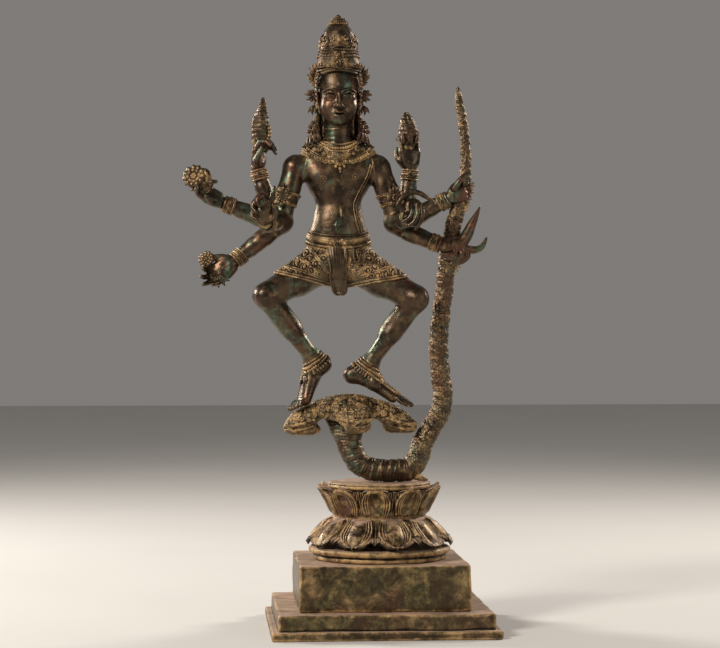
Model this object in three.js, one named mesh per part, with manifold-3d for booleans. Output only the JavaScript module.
// A cast brass figure of an eight-armed dancer on a three-headed serpent, in separate castings.
// Units are millimetres, +Z is up and the figure faces -Y. The origin is the middle of the plinth's
// underside. "Right" and "left" are the figure's own sides, so its right side is towards -X.
import * as THREE from "three";
import { mergeVertices } from "three/addons/utils/BufferGeometryUtils.js";
import Module from "manifold-3d";

const wasm = await Module();
wasm.setup();

// Driving dimensions.
const GAP = 0.3; // clearance between neighbouring castings
const WALL = 5; // wall of the hollow castings
const FOOT_SLAB = { width: 222, depth: 205, height: 8.5 };
const STEP_SLAB = { width: 210, depth: 193, height: 16 };
const BLOCK = { width: 167, depth: 152, height: 44.6 };
const STUD_R = 4;
const LOTUS_PETALS = 10;
const LOTUS = { ringR: 69.5, tipR: 73.5, waistR: 46, rimR: 60, plateR: 51.5, hollowR: 28 };
const BLOCK_BOTTOM = FOOT_SLAB.height + STEP_SLAB.height;
const BLOCK_TOP = BLOCK_BOTTOM + BLOCK.height;
const LOTUS_Z = { ringTop: BLOCK_TOP + 12, waist: 111.5, rim: 141, top: 145.2 };
const BODY_X = -41; // the figure's own middle plane
const PEG_R = 2;
const PEG_LENGTH = 8;

const FRONT = new THREE.Vector3(0, -1, 0);
const UPWARD = new THREE.Vector3(0, 0, 1);

// ---- Solids ----------------------------------------------------------------------------------

// A closed geometry as a manifold-3d solid, with its faces turned outwards.
function solidOf(geometry) {
  const bare = (geometry.index ? geometry.toNonIndexed() : geometry.clone());
  bare.deleteAttribute("normal");
  bare.deleteAttribute("uv");
  const merged = mergeVertices(bare, 1e-4);
  const at = merged.attributes.position.array;
  const index = merged.index.array;
  const kept = [];
  let volume = 0;
  for (let i = 0; i < index.length; i += 3) {
    const [a, b, c] = [index[i], index[i + 1], index[i + 2]];
    if (a === b || b === c || a === c) continue;
    kept.push(a, b, c);
    const [p, q, r] = [a, b, c].map((k) => new THREE.Vector3().fromArray(at, 3 * k));
    volume += p.dot(q.cross(r));
  }
  if (volume < 0) kept.reverse();
  const mesh = new wasm.Mesh({
    numProp: 3,
    vertProperties: new Float32Array(at),
    triVerts: new Uint32Array(kept),
  });
  return new wasm.Manifold(mesh);
}

function union(solids) {
  return solids.reduce((whole, next) => whole.add(next));
}

// A block standing on z = bottom, centred on the Z axis.
function block(width, depth, bottom, top) {
  const geometry = new THREE.BoxGeometry(width, depth, top - bottom);
  return solidOf(geometry.translate(0, 0, (top + bottom) / 2));
}

// A solid of revolution about Z from [radius, height] points. scaleR(angle, height, radius) reshapes its plan.
function revolve(points, sides, scaleR = () => 1) {
  const geometry = new THREE.LatheGeometry(
    points.map(([r, z]) => new THREE.Vector2(r, z)),
    sides,
  ).rotateX(Math.PI / 2);
  const at = geometry.attributes.position;
  for (let i = 0; i < at.count; i++) {
    const [x, y] = [at.getX(i), at.getY(i)];
    const scale = scaleR(Math.atan2(y, x), at.getZ(i), Math.hypot(x, y));
    at.setXY(i, x * scale, y * scale);
  }
  return solidOf(geometry);
}

function ellipsoid([x, y, z], [rx, ry, rz], grow = 0, sides = 12) {
  const geometry = new THREE.SphereGeometry(1, sides, Math.round(sides * 0.6));
  geometry.rotateX(Math.PI / 2).scale(rx + grow, ry + grow, rz + grow);
  return solidOf(geometry.translate(x, y, z));
}

// A limb, tail or finger: a closed lathe of unit radius bent along a curve. Each station is
// [x, y, z, half width, half thickness]; the thickness is measured across, towards `facing`.
function sweep(stations, options = {}) {
  const { sides = 8, rings = 1, roundStart = true, roundEnd = true, facing = FRONT, grow = 0 } = options;
  const points = stations.map(([x, y, z]) => new THREE.Vector3(x, y, z));
  const curve = points.length > 2
    ? new THREE.CatmullRomCurve3(points, false, "centripetal")
    : new THREE.LineCurve3(points[0], points[1]);
  const chord = [0];
  for (let i = 1; i < points.length; i++) chord.push(chord[i - 1] + points[i].distanceTo(points[i - 1]));
  const length = chord.at(-1);
  const halves = stations.map((s) => [s[3] + grow, (s[4] ?? s[3]) + grow]);
  const halfAt = (y) => {
    const along = THREE.MathUtils.clamp(y, 0, length);
    const i = Math.min(chord.findIndex((c, k) => k > 0 && along <= c + 1e-9), chord.length - 1);
    const share = (along - chord[i - 1]) / (chord[i] - chord[i - 1]);
    return [0, 1].map((k) => THREE.MathUtils.lerp(halves[i - 1][k], halves[i][k], share));
  };
  const capStart = roundStart ? Math.min(...halves[0]) : grow;
  const capEnd = roundEnd ? Math.min(...halves.at(-1)) : grow;
  const profile = [[0, -capStart]];
  if (roundStart) profile.push([Math.SQRT1_2, -capStart * Math.SQRT1_2]);
  else if (grow) profile.push([1, -capStart]);
  profile.push([1, 0]);
  for (let i = 1; i < chord.length; i++) {
    for (let k = 1; k <= rings; k++) profile.push([1, THREE.MathUtils.lerp(chord[i - 1], chord[i], k / rings)]);
  }
  if (roundEnd) profile.push([Math.SQRT1_2, length + capEnd * Math.SQRT1_2]);
  else if (grow) profile.push([1, length + capEnd]);
  profile.push([0, length + capEnd]);
  const geometry = new THREE.LatheGeometry(profile.map(([r, y]) => new THREE.Vector2(r, y)), sides);
  const at = geometry.attributes.position;
  for (let i = 0; i < at.count; i++) {
    const y = at.getY(i);
    const share = THREE.MathUtils.clamp(y / length, 0, 1);
    const centre = curve.getPointAt(share);
    const tangent = curve.getTangentAt(share);
    const width = new THREE.Vector3().crossVectors(facing, tangent).normalize();
    const thick = new THREE.Vector3().crossVectors(tangent, width);
    const [a, b] = halfAt(y);
    centre.addScaledVector(width, at.getX(i) * a).addScaledVector(thick, at.getZ(i) * b);
    centre.addScaledVector(tangent, y - share * length);
    at.setXYZ(i, centre.x, centre.y, centre.z);
  }
  return solidOf(geometry);
}

// A round bar between two points, with flat ends.
function bar(from, to, radius, sides = 6) {
  return sweep([[...from, radius], [...to, radius]], { sides, rings: 1, roundStart: false, roundEnd: false,
    facing: Math.abs(from[1] - to[1]) > Math.abs(from[2] - to[2]) ? UPWARD : FRONT });
}

// ---- The pieces, each as a function of how much it is grown on every side ------------------------

const pieces = new Map();

function define(name, slot, shape) {
  pieces.set(name, { slot, shape, solid: shape(0) });
}

// Cuts `name` back so that it clears each keeper by GAP.
function clear(name, ...keepers) {
  const piece = pieces.get(name);
  for (const keeper of keepers) piece.solid = piece.solid.subtract(pieces.get(keeper).shape(GAP));
}

// Joins two castings with a tenon on `male`, from its own material at `from` into `female` at `to`.
// `others` are the castings it passes on the way.
function peg(male, female, from, to, radius = PEG_R, others = []) {
  const start = new THREE.Vector3(...from);
  const reach = new THREE.Vector3(...to).sub(start).normalize().multiplyScalar(GAP).add(new THREE.Vector3(...to));
  const socket = bar(from, reach.toArray(), radius + GAP);
  for (const name of [female, ...others]) pieces.get(name).solid = pieces.get(name).solid.subtract(socket);
  pieces.get(male).solid = pieces.get(male).solid.add(bar(from, to, radius));
}

// ---- Plinth ------------------------------------------------------------------------------------

function definePlinth() {
  define("plinth_lower_step", "pedestal_brass", () => {
    const outside = block(FOOT_SLAB.width, FOOT_SLAB.depth, 0, FOOT_SLAB.height)
      .add(block(STEP_SLAB.width, STEP_SLAB.depth, FOOT_SLAB.height - 1, BLOCK_BOTTOM - GAP));
    const hollow = block(STEP_SLAB.width - 2 * WALL, STEP_SLAB.depth - 2 * WALL, -1, BLOCK_BOTTOM - WALL);
    const deckOpening = block(BLOCK.width - 6 * WALL, BLOCK.depth - 6 * WALL, 0, BLOCK_BOTTOM + 1);
    return outside.subtract(hollow).subtract(deckOpening);
  });
  define("plinth_upper_block", "pedestal_brass", () => {
    const outside = block(BLOCK.width, BLOCK.depth, BLOCK_BOTTOM, BLOCK_TOP - GAP);
    const hollow = block(BLOCK.width - 2 * WALL, BLOCK.depth - 2 * WALL, BLOCK_BOTTOM - 1, BLOCK_TOP - WALL);
    return outside.subtract(hollow).subtract(bar([0, 0, BLOCK_TOP - 2 * WALL], [0, 0, BLOCK_TOP + 1], STUD_R + GAP));
  });
}

// The stud screws into the lotus plate's boss and pulls the whole pedestal together from below.
function defineTieRod() {
  const washerTop = BLOCK_TOP - WALL - GAP;
  const washerHeight = 1.6;
  const nutTop = washerTop - washerHeight - GAP;
  const nutHeight = 6.5;
  const stud = (grow) => bar([0, 0, nutTop - nutHeight - 6 - grow], [0, 0, LOTUS_Z.top - 8 + grow], STUD_R + grow);
  define("tie_stud", "steel", stud);
  define("tie_nut", "steel", () => {
    const hexagon = new THREE.CylinderGeometry(7.5, 7.5, nutHeight, 6).rotateX(Math.PI / 2);
    return solidOf(hexagon.translate(0, 0, nutTop - nutHeight / 2)).subtract(stud(GAP));
  });
  define("tie_washer", "steel", () => {
    const disc = new THREE.CylinderGeometry(10, 10, washerHeight, 20).rotateX(Math.PI / 2);
    return solidOf(disc.translate(0, 0, washerTop - washerHeight / 2)).subtract(stud(GAP));
  });
}

// ---- Lotus -------------------------------------------------------------------------------------

function defineLotus() {
  const sides = 2 * LOTUS_PETALS;
  const plainSides = 24;
  const { ringR, tipR, waistR, rimR, plateR, hollowR } = LOTUS;
  const { ringTop, waist, rim, top } = LOTUS_Z;
  // A wavy edge where the petals stand out, smooth at the waist and inside.
  const petals = (phase) => (angle, z, radius) => {
    const out = radius > hollowR + 1 ? THREE.MathUtils.smoothstep(Math.abs(z - waist), 2, 20) : 0;
    return 1 - 0.045 * out * (1 - Math.abs(Math.cos((LOTUS_PETALS * (angle + phase)) / 2)));
  };
  define("lotus_foot_ring", "pedestal_brass", () => revolve([
    [hollowR, BLOCK_TOP], [ringR, BLOCK_TOP], [ringR, BLOCK_TOP + 4.5], [ringR - 3, BLOCK_TOP + 6],
    [ringR - 1, BLOCK_TOP + 8], [ringR - 1, ringTop], [hollowR, ringTop], [hollowR, BLOCK_TOP],
  ], plainSides));
  define("lotus_lower_petals", "pedestal_brass", () => revolve([
    [hollowR, ringTop + GAP], [ringR - 5, ringTop + GAP], [tipR - 3, ringTop + 3], [tipR, ringTop + 6],
    [tipR - 4, ringTop + 9], [waistR + 12, waist - 10], [waistR + 4, waist - 3], [waistR, waist],
    [hollowR, waist], [hollowR, ringTop + GAP],
  ], sides, petals(0)));
  define("lotus_upper_petals", "pedestal_brass", () => revolve([
    [hollowR, waist + GAP], [waistR, waist + GAP], [waistR + 3, waist + 8], [waistR + 9, waist + 20],
    [rimR - 2, rim - 5], [rimR, rim - 1.5], [rimR - 2.5, rim], [hollowR, rim], [hollowR, waist + GAP],
  ], sides, petals(Math.PI / LOTUS_PETALS)));
  define("lotus_top_plate", "pedestal_brass", () => {
    const plate = revolve([[0, rim - 6], [hollowR - 1, rim - 6], [hollowR - 1, rim + GAP],
      [plateR, rim + GAP], [plateR, top], [0, top]], plainSides);
    const boss = bar([0, 0, rim - 24], [0, 0, rim - 5], 9, 12);
    return plate.add(boss).subtract(bar([0, 0, rim - 25], [0, 0, top - 8 + GAP], STUD_R + GAP));
  });
}

// ---- Serpent -----------------------------------------------------------------------------------

const COIL_Z = LOTUS_Z.top + GAP + 11;
const COIL = [[-23, -6, COIL_Z + 3, 11.5], [-7, -8, COIL_Z, 11], [10, -9, COIL_Z, 11], [32, -7, COIL_Z + 1, 11]];
const NECK = [[-26.5, -4, COIL_Z + 13, 12, 11], [-29, -3, COIL_Z + 28, 14, 10], [-31, -1, COIL_Z + 40, 21, 9],
  [-32, 1, COIL_Z + 50, 25, 10]];
const TAIL_LOWER = [[35, -7, 168, 10.5], [43, -4, 187, 10.5], [55, -1, 202, 10], [63, 1, 216, 9.5],
  [63, 2, 245, 9.5], [59.5, 2, 283, 9], [63.5, 0, 315, 9], [66, -3, 337, 8.5], [70, -8, 366, 8],
  [73, -10, 379, 7.8]];
const TAIL_UPPER = [[73, -10, 379, 7.8], [78, -9, 405, 7.4], [83, -6, 430, 6.3], [86, -4, 462, 5.4],
  [85, -3, 490, 4.9], [81, -3, 518, 4], [79.5, -3, 524, 4.4], [79, -3, 534, 2.6]];
const HEADS = {
  serpent_head_front: [[-29, -10, 217, 17, 9], [-28, -30, 214, 19, 10], [-27, -47, 206, 13, 7]],
  serpent_head_right: [[-50, -3, 214, 16, 9], [-70, -6, 208, 17, 9], [-87, -9, 200, 11, 6]],
  serpent_head_left: [[-10, -3, 214, 16, 9], [10, -6, 208, 17, 9], [29, -8, 202, 10, 6]],
};

function defineSerpent() {
  define("serpent_coil", "serpent_brass", (grow) => sweep(COIL, { grow }));
  define("serpent_neck", "serpent_brass", (grow) => sweep(NECK, { grow, sides: 10, roundEnd: false }));
  define("serpent_hood", "serpent_brass", (grow) => {
    const dome = ellipsoid([-30, 4, 208], [33, 27, 23], grow, 14);
    return dome.subtract(solidOf(new THREE.BoxGeometry(90, 80, 60).translate(-30, 0, 174 - grow)));
  });
  for (const [name, stations] of Object.entries(HEADS)) {
    define(name, "serpent_brass", (grow) => sweep(stations, { grow, sides: 10, facing: UPWARD }));
  }
  define("serpent_tail_lower", "serpent_brass", (grow) => sweep(TAIL_LOWER, { grow, roundEnd: false }));
  define("serpent_tail_upper", "serpent_brass", (grow) => sweep(TAIL_UPPER, { grow, roundStart: false }));
}

function fitSerpent() {
  clear("serpent_coil", "lotus_top_plate");
  clear("serpent_neck", "serpent_coil");
  clear("serpent_tail_lower", "serpent_coil", "lotus_top_plate");
  clear("serpent_tail_upper", "serpent_tail_lower");
  clear("serpent_hood", "serpent_neck");
  for (const name of Object.keys(HEADS)) clear(name, "serpent_hood", "serpent_neck");
  clear("serpent_head_right", "serpent_head_front");
  clear("serpent_head_left", "serpent_head_front");
  peg("serpent_coil", "lotus_top_plate", [-16, -8, COIL_Z], [-16, -8, LOTUS_Z.top - 5]);
  peg("serpent_coil", "lotus_top_plate", [22, -8, COIL_Z], [22, -8, LOTUS_Z.top - 5]);
  peg("serpent_neck", "serpent_coil", [-27, -4, COIL_Z + 19], [-24, -5, COIL_Z + 5], 3);
  peg("serpent_hood", "serpent_neck", [-32, 1, COIL_Z + 66], [-32, 0, COIL_Z + 46], 3);
  peg("serpent_tail_lower", "serpent_coil", [41, -5, 184], [33, -7, COIL_Z + 4], 3);
  peg("serpent_tail_upper", "serpent_tail_lower", [74, -10, 384], [72.5, -9.6, 373]);
  peg("serpent_head_front", "serpent_hood", [-29, -32, 214], [-29, -14, 215], 3);
  peg("serpent_head_right", "serpent_hood", [-72, -6, 208], [-52, -3, 213], 3);
  peg("serpent_head_left", "serpent_hood", [12, -6, 208], [-8, -3, 213], 3);
}

// ---- Legs, hips and torso --------------------------------------------------------------------------

// Each leg: hip, hem, knee, calf, ankle, heel, ball and toe, with their half widths.
const LEGS = {
  right: {
    hip: [-58, 2, 362, 22, 20], hem: [-96, -9, 341, 17], knee: [-113, -14, 329, 13.5], calf: [-90, -9, 299, 12],
    ankle: [-67, -5, 270, 8], heel: [-58, -3, 261, 7], ball: [-74, -10, 229, 7.5, 5], toe: [-84, -15, 220.5, 8, 3.6],
    hemCut: [-101, -9, 339],
  },
  left: {
    hip: [-24, 2, 362, 22, 20], hem: [14, -9, 341, 17], knee: [34, -14, 327, 13.5], calf: [11, -9, 296, 12],
    ankle: [-9, -5, 265, 8], heel: [-26, -2, 252, 7], ball: [11, -10, 232, 7.5, 5], toe: [24, -14, 223, 8, 3.6],
    hemCut: [20, -9, 339],
  },
};
const PELVIS = [BODY_X, 2, 364];
const TORSO = [[BODY_X, 1, 379, 29, 19], [BODY_X, 1, 392, 28.5, 18], [BODY_X, 0, 418, 22.5, 15.5],
  [BODY_X, -1, 440, 28, 18], [BODY_X, 0, 458, 33, 19], [BODY_X, 2, 473, 30, 15], [BODY_X, 3, 481, 18, 12]];
const NECK_TOP = 506;

function defineLegs() {
  for (const [side, leg] of Object.entries(LEGS)) {
    define(side + "_leg", "skin_brass", (grow) => sweep([leg.hem, leg.knee, leg.calf, leg.ankle], { grow, roundEnd: false }));
    define(side + "_anklet", "ornament_brass", (grow) => {
      const [ax, ay, az] = leg.ankle;
      const [hx, hy, hz] = leg.heel;
      const [bx, by, bz] = leg.ball;
      const instep = [(ax * 2 + bx) / 3, (ay * 2 + by) / 3, (az * 2 + bz) / 3];
      const middle = [(instep[0] + hx) / 2, (instep[1] + hy) / 2, (instep[2] + hz) / 2 + 4];
      const out = new THREE.Vector3(ax - middle[0], 0, az - middle[2]).normalize().multiplyScalar(2.5);
      return sweep([[middle[0] - out.x, middle[1], middle[2] - out.z, 15.5, 12.5],
        [middle[0] + out.x, middle[1], middle[2] + out.z, 15.5, 12.5]],
        { grow, sides: 14, roundStart: false, roundEnd: false });
    });
    define(side + "_foot", "skin_brass", (grow) => {
      const [ax, ay, az, ar] = leg.ankle;
      const sole = sweep([leg.heel, leg.ball, leg.toe], { grow });
      return sole.add(sweep([[ax, ay, az, ar + 1], leg.ball], { grow }));
    });
  }
}

function defineBody() {
  define("hip_cloth", "cloth_brass", (grow) => {
    const hips = sweep([[BODY_X, 2, 344, 16, 15], [...PELVIS, 30, 21], [BODY_X, 1, 378, 30, 19.5]],
      { grow, sides: 10, roundEnd: false });
    const thighs = Object.values(LEGS).map((leg) => sweep(
      [leg.hip, [...leg.hemCut, leg.hem[3] + 1.5]], { grow, roundEnd: false }));
    return union([hips, ...thighs]);
  });
  define("torso", "skin_brass", (grow) => sweep(TORSO, { grow, sides: 12, roundStart: false }));
  define("girdle", "ornament_brass", (grow) => sweep(
    [[BODY_X, 1, 379.5, 33, 22.5], [BODY_X, 1, 392.5, 33, 22.5]],
    { grow, sides: 16, roundStart: false, roundEnd: false }));
  define("front_sash", "cloth_brass", () => {
    const tongue = new THREE.Shape();
    tongue.moveTo(-9, 0);
    tongue.lineTo(9, 0);
    tongue.bezierCurveTo(12, -18, 11, -32, 4, -44);
    tongue.quadraticCurveTo(0, -48, -4, -44);
    tongue.bezierCurveTo(-11, -32, -12, -18, -9, 0);
    const flap = new THREE.ExtrudeGeometry(tongue, { depth: 6, bevelEnabled: false, curveSegments: 5 });
    return solidOf(flap.rotateX(Math.PI / 2 - 0.08).translate(BODY_X + 0.5, -20, 379));
  });
  define("collar", "ornament_brass", (grow) => {
    const band = new THREE.CylinderGeometry(1, 1, 9 + 2 * grow, 18).rotateX(Math.PI / 2);
    band.scale(38 + grow, 25 + grow, 1).rotateX(0.42);
    return solidOf(band.translate(BODY_X, 0, 472));
  });
}

function fitBody() {
  clear("hip_cloth", "torso");
  clear("girdle", "torso", "hip_cloth");
  clear("front_sash", "hip_cloth", "girdle");
  for (const [side, leg] of Object.entries(LEGS)) {
    clear(side + "_leg", "hip_cloth");
    clear(side + "_leg", side + "_foot");
    clear(side + "_anklet", side + "_foot", side + "_leg");
    clear("serpent_head_" + side, side + "_foot");
    const [kx, ky, kz] = leg.knee;
    const [hx, hy, hz] = leg.hip;
    peg(side + "_leg", "hip_cloth", [kx, ky, kz], [(kx + hx) / 2, (ky + hy) / 2, (kz + hz) / 2], 4);
    const [cx, cy, cz] = leg.calf;
    const [ax, ay, az] = leg.ankle;
    peg(side + "_foot", side + "_leg", [ax, ay, az], [(ax + cx) / 2, (ay + cy) / 2, (az + cz) / 2], 2.5);
    const [tx, ty, tz] = leg.ball;
    peg(side + "_foot", "serpent_head_" + side, [tx, ty, tz], [tx, ty + 2, tz - 24], 2.5);
  }
  peg("torso", "hip_cloth", [BODY_X, 1, 390], [BODY_X, 1, 366], 5);
  peg("front_sash", "hip_cloth", [BODY_X, -23, 366], [BODY_X, -12, 366]);
}

// ---- Head and crown ------------------------------------------------------------------------------

const HEAD = [BODY_X, -1, 526];
const CROWN_Y = 1;

// Crown pieces are turned about an upright axis through the head.
function crownPiece(points, sides = 12) {
  return revolve(points, sides).translate([BODY_X, CROWN_Y, 0]);
}

function defineHead() {
  define("head", "skin_brass", (grow) => {
    const skull = ellipsoid(HEAD, [21, 23, 27], grow, 12);
    return skull.add(sweep([[BODY_X, 3, 484.5, 14, 13], [BODY_X, 1, NECK_TOP, 12.5, 12.5]],
      { grow, sides: 10, roundStart: false }));
  });
  define("diadem", "ornament_brass", () => crownPiece([[0, 545], [23, 545], [25.5, 548], [25.5, 556],
    [23.5, 558], [0, 558]]));
  define("crown_body", "ornament_brass", () => crownPiece([[0, 558 + GAP], [22, 558 + GAP], [22.5, 563],
    [20.5, 567], [20, 570], [20.5, 573], [19, 575], [19.5, 583], [17, 591], [11, 599], [9.5, 600], [0, 600]]));
  define("crown_finial", "ornament_brass", () => crownPiece([[0, 600 + GAP], [9.5, 600 + GAP], [10, 602],
    [8, 604.5], [5.5, 606.5], [4, 609], [0, 611.5]], 8));
  for (const [side, sign] of [["right", -1], ["left", 1]]) {
    define(side + "_ear_ornament", "ornament_brass", () => {
      const disc = ellipsoid([BODY_X + sign * 26.5, -1, 529], [6.5, 6, 6.5], 0, 8);
      const pendant = sweep([[BODY_X + sign * 26, -1, 526, 3], [BODY_X + sign * 28.5, -1, 511, 2.4]],
        { sides: 6 });
      return disc.add(pendant);
    });
    define(side + "_hair_locks", "ornament_brass", (grow) => sweep([[BODY_X + sign * 19, 11, 523, 6, 6],
      [BODY_X + sign * 22, 8, 508, 7, 6], [BODY_X + sign * 28, 5, 496, 7, 6]], { grow }));
  }
}

function fitHead() {
  for (const name of ["diadem", "crown_body", "right_ear_ornament", "left_ear_ornament", "right_hair_locks",
    "left_hair_locks"]) clear(name, "head");
  clear("head", "torso");
  clear("collar", "torso", "head", "right_hair_locks", "left_hair_locks");
  for (const side of ["right", "left"]) clear(side + "_ear_ornament", side + "_hair_locks");
  peg("head", "torso", [BODY_X, 2, 495], [BODY_X, 2, 472], 4);
  peg("crown_body", "diadem", [BODY_X, CROWN_Y, 563], [BODY_X, CROWN_Y, 555], 3);
  peg("crown_finial", "crown_body", [BODY_X, CROWN_Y, 604], [BODY_X, CROWN_Y, 592]);
}

// ---- Arms ----------------------------------------------------------------------------------------

// Each side has one upper arm that branches at the elbow into four forearms.
const ARMS = {
  right: { shoulder: [-82, 0, 466, 12.5], middle: [-92, -3, 432, 10.5], elbow: [-98, -4, 404, 12] },
  left: { shoulder: [0, 0, 466, 12.5], middle: [11, -3, 432, 10.5], elbow: [17, -4, 404, 12] },
};

// A hand: where its forearm starts and its wrist lies, the way the fingers point, the way the palm
// faces, which side the thumb is on (+1 or -1 along fingers x palm) and each finger's curl in degrees.
const HANDS = {
  right_raised: { from: [-108, 6, 412], wrist: [-121, 8, 456], along: [0.05, 0, 1], palm: [1, -0.4, 0],
    thumb: 1, curl: [50, 55, 60, 65] },
  right_outer: { from: [-110, 0, 405], wrist: [-155, -4, 422], along: [-0.85, -0.1, 0.45], palm: [0.4, -0.8, 0.5],
    thumb: 1, curl: [40, 50, 55, 60] },
  right_lower: { from: [-106, -6, 396], wrist: [-144, -12, 364], along: [-0.85, -0.2, -0.35], palm: [-0.2, -0.9, 0.3],
    thumb: 1, curl: [30, 20, 15, 25] },
  right_front: { from: [-102, -12, 404], wrist: [-113, -46, 399], along: [-0.1, -0.25, 0.95], palm: [-0.1, -0.95, -0.1],
    thumb: 1, curl: [35, 12, 15, 20] },
  left_raised: { from: [27, 6, 412], wrist: [32, 8, 456], along: [-0.05, 0, 1], palm: [-1, -0.4, 0],
    thumb: -1, curl: [45, 50, 55, 60] },
  left_outer: { from: [29, 0, 406], wrist: [70.5, -15.6, 430.2], along: [0.94, 0, 0.35], palm: [0, 1, 0],
    thumb: -1, curl: [45, 45, 45, 45], grips: true },
  left_lower: { from: [24, -6, 396], wrist: [59.5, -21, 380.5], along: [1, 0, 0.05], palm: [0, 1, 0],
    thumb: -1, curl: [5, 10, 42, 42], grips: true },
  left_front: { from: [21, -12, 404], wrist: [30, -44, 409], along: [0.05, -0.5, -0.85], palm: [0.1, 0.85, -0.5],
    thumb: 1, curl: [20, 25, 30, 35] },
};
const PALM = { length: 13, halfWidth: 7, halfThickness: 4 };
const FINGER = { radius: 1.9, bones: [9, 6.5, 5], spacing: 3.9 };
const THUMB = { resting: [[3, 4, 1], [8, 8.5, 3], [13, 9, 6]], gripping: [[3, 4, 0], [8, 9, -0.5], [14, 11, -1.5]] };
const FOREARM_R = { elbow: 9, wrist: 6.2 };

function handFrame(hand) {
  const along = new THREE.Vector3(...hand.along).normalize();
  const across = new THREE.Vector3(...hand.palm).cross(along).normalize();
  const palm = new THREE.Vector3().crossVectors(along, across);
  const thumbWay = across.clone().multiplyScalar(hand.thumb);
  return { origin: new THREE.Vector3(...hand.wrist), along, palm, thumbWay };
}

// A point in a hand's own frame: towards the fingers, towards the thumb, and out of the palm.
function inHand({ origin, along, palm, thumbWay }, [forward, side, out]) {
  return origin.clone().addScaledVector(along, forward).addScaledVector(thumbWay, side).addScaledVector(palm, out)
    .toArray();
}

function handShape(hand, grow) {
  const frame = handFrame(hand);
  const facing = frame.palm;
  const { length, halfWidth, halfThickness } = PALM;
  const palm = sweep([[...inHand(frame, [1.5, 0, 0]), 5.5, 4.2], [...inHand(frame, [length, 0, 0]), halfWidth,
    halfThickness]], { grow, facing, roundStart: false });
  const fingers = hand.curl.map((curl, i) => {
    const side = (1.5 - i) * FINGER.spacing;
    const stations = [[length, side, 0]];
    FINGER.bones.forEach((bone, k) => {
      const bend = THREE.MathUtils.degToRad(curl * (k + 0.6));
      const [forward, , out] = stations.at(-1);
      stations.push([forward + bone * Math.cos(bend), side, out + bone * Math.sin(bend)]);
    });
    return sweep(stations.map((s) => [...inHand(frame, s), FINGER.radius]),
      { grow, facing: frame.thumbWay, sides: 5, roundStart: false });
  });
  const thumbLine = hand.grips ? THUMB.gripping : THUMB.resting;
  const thumb = sweep(thumbLine.map((s) => [...inHand(frame, s), 2.5]), { grow, facing, sides: 5 });
  return union([palm, ...fingers, thumb]);
}

function defineArms() {
  for (const [side, arm] of Object.entries(ARMS)) {
    define(side + "_upper_arm", "skin_brass", (grow) => sweep([arm.shoulder, arm.middle, arm.elbow],
      { grow }));
    const [mx, my, mz] = arm.middle;
    define(side + "_armlet", "ornament_brass", (grow) => sweep([[mx, my, mz - 4, 14], [mx, my, mz + 5, 14]],
      { grow, sides: 12, roundStart: false, roundEnd: false }));
  }
  for (const [name, hand] of Object.entries(HANDS)) {
    const [fx, fy, fz] = hand.from;
    const [wx, wy, wz] = hand.wrist;
    const at = (share) => [fx + (wx - fx) * share, fy + (wy - fy) * share, fz + (wz - fz) * share];
    const facing = Math.abs(wy - fy) > 20 ? UPWARD : FRONT;
    define(name + "_forearm", "skin_brass", (grow) => {
      const limb = sweep([[fx, fy, fz, FOREARM_R.elbow], [...at(0.5), FOREARM_R.elbow - 0.5],
        [wx, wy, wz, FOREARM_R.wrist]], { grow, facing, sides: 7, roundEnd: false });
      const bracelet = sweep([[...at(0.8), 8.6], [...at(0.98), 8.6]],
        { grow, facing, sides: 7, roundStart: false, roundEnd: false });
      return limb.add(bracelet);
    });
    define(name + "_hand", "skin_brass", (grow) => handShape(hand, grow));
  }
}

function defineAttributes() {
  define("conch", "ornament_brass", () => sweep([[-119, 6, 484, 6], [-119, 6, 494, 9], [-118, 6, 506, 8.5],
    [-116, 6, 517, 4.5], [-114.5, 6, 527, 1.4]]));
  define("lotus_flower", "ornament_brass", () => sweep([[-176, -12, 440, 4], [-181, -14, 446, 8],
    [-188, -16, 452, 11]], { sides: 10, facing: UPWARD, roundEnd: false }));
  define("lotus_bud", "ornament_brass", () => sweep([[30, 5, 486, 5], [29.5, 5, 496, 8], [28.5, 5, 506, 6.5],
    [28, 5, 512, 3]]));
}

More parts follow.
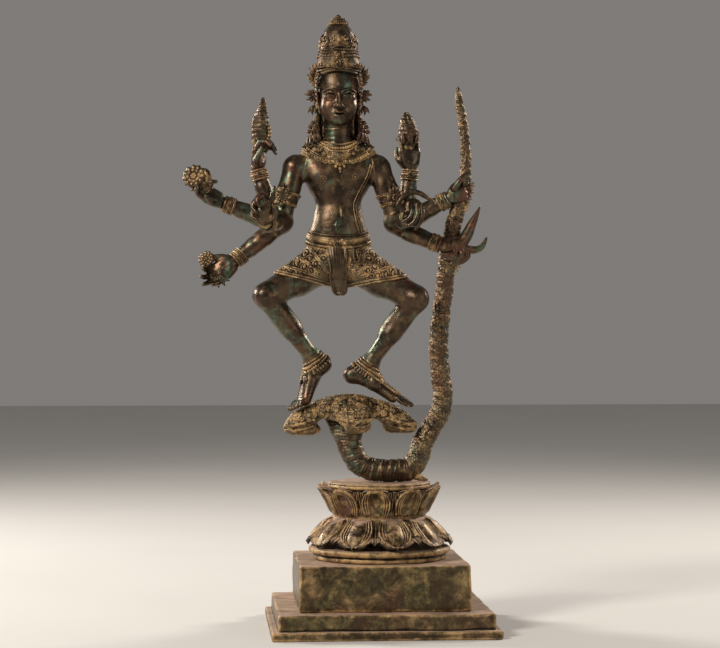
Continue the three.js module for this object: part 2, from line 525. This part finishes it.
function fitArms() {
  for (const [side, arm] of Object.entries(ARMS)) {
    const upperArm = side + "_upper_arm";
    clear("torso", upperArm);
    clear("collar", upperArm);
    clear(side + "_hair_locks", "torso", upperArm);
    clear(side + "_armlet", upperArm, "torso");
    const inward = side === "right" ? 1 : -1;
    const [sx, sy, sz] = arm.shoulder;
    peg(upperArm, "torso", [sx, sy, sz - 8], [sx + inward * 21, sy, sz - 8], 3.5);
  }
  const names = Object.keys(HANDS);
  names.forEach((name, i) => {
    const side = name.split("_")[0];
    const sameSide = names.filter((other) => other !== name && other.startsWith(side));
    clear(name + "_forearm", side + "_upper_arm", side + "_armlet", name + "_hand");
    for (const other of sameSide.filter((n) => names.indexOf(n) < i)) {
      clear(name + "_forearm", other + "_forearm");
    }
    const { from, wrist } = HANDS[name];
    const between = (share) => from.map((v, k) => v + (wrist[k] - v) * share);
    peg(name + "_hand", name + "_forearm", inHand(handFrame(HANDS[name]), [8, 0, 0]), between(0.86));
  });
  names.forEach((name) => {
    const side = name.split("_")[0];
    const sameSide = names.filter((other) => other !== name && other.startsWith(side));
    const { from, wrist } = HANDS[name];
    const start = from.map((v, k) => v + (wrist[k] - v) * 0.3);
    const end = from.map((v, k) => (v + ARMS[side].elbow[k]) / 2);
    peg(name + "_forearm", side + "_upper_arm", start, end, 1.6, sameSide.map((other) => other + "_forearm"));
  });
  for (const tail of ["serpent_tail_lower", "serpent_tail_upper"]) {
    clear("left_outer_hand", tail);
    clear("left_lower_hand", tail);
  }
  clear("conch", "right_raised_hand");
  clear("lotus_flower", "right_outer_hand");
  clear("lotus_bud", "left_raised_hand");
}

// ---- Assembly ------------------------------------------------------------------------------------

const LOOKS = {
  skin_brass: { color: 0x2e2317, roughness: 0.42, metalness: 0.85 },
  cloth_brass: { color: 0x4a3a22, roughness: 0.5, metalness: 0.8 },
  ornament_brass: { color: 0x4e3d24, roughness: 0.5, metalness: 0.8 },
  serpent_brass: { color: 0x4b3c25, roughness: 0.55, metalness: 0.8 },
  pedestal_brass: { color: 0x3f3423, roughness: 0.55, metalness: 0.75 },
  steel: { color: 0x6d6b66, roughness: 0.45, metalness: 0.9 },
};

function meshOf(name, { slot, solid }, materials) {
  const { numProp, vertProperties, triVerts } = solid.getMesh();
  const corners = new Float32Array((vertProperties.length / numProp) * 3);
  for (let i = 0; i * 3 < corners.length; i++) {
    corners.set(vertProperties.subarray(i * numProp, i * numProp + 3), i * 3);
  }
  const geometry = new THREE.BufferGeometry();
  geometry.setAttribute("position", new THREE.BufferAttribute(corners, 3));
  geometry.setIndex(new THREE.BufferAttribute(triVerts, 1));
  geometry.computeVertexNormals();
  const mesh = new THREE.Mesh(geometry, materials[slot]);
  mesh.name = name;
  return mesh;
}

definePlinth();
defineTieRod();
defineLotus();
defineSerpent();
defineLegs();
defineBody();
defineHead();
defineArms();
defineAttributes();
fitSerpent();
fitBody();
fitHead();
fitArms();

const materials = {};
for (const [slot, look] of Object.entries(LOOKS)) {
  materials[slot] = new THREE.MeshStandardMaterial({ name: slot, ...look });
}
const statue = new THREE.Group();
for (const [name, piece] of pieces) statue.add(meshOf(name, piece, materials));

// The drawing's zero is under the plinth's middle; the part's origin is the middle of its box's bottom.
const extent = new THREE.Box3().setFromObject(statue);
statue.position.x = -(extent.min.x + extent.max.x) / 2;

export default statue;
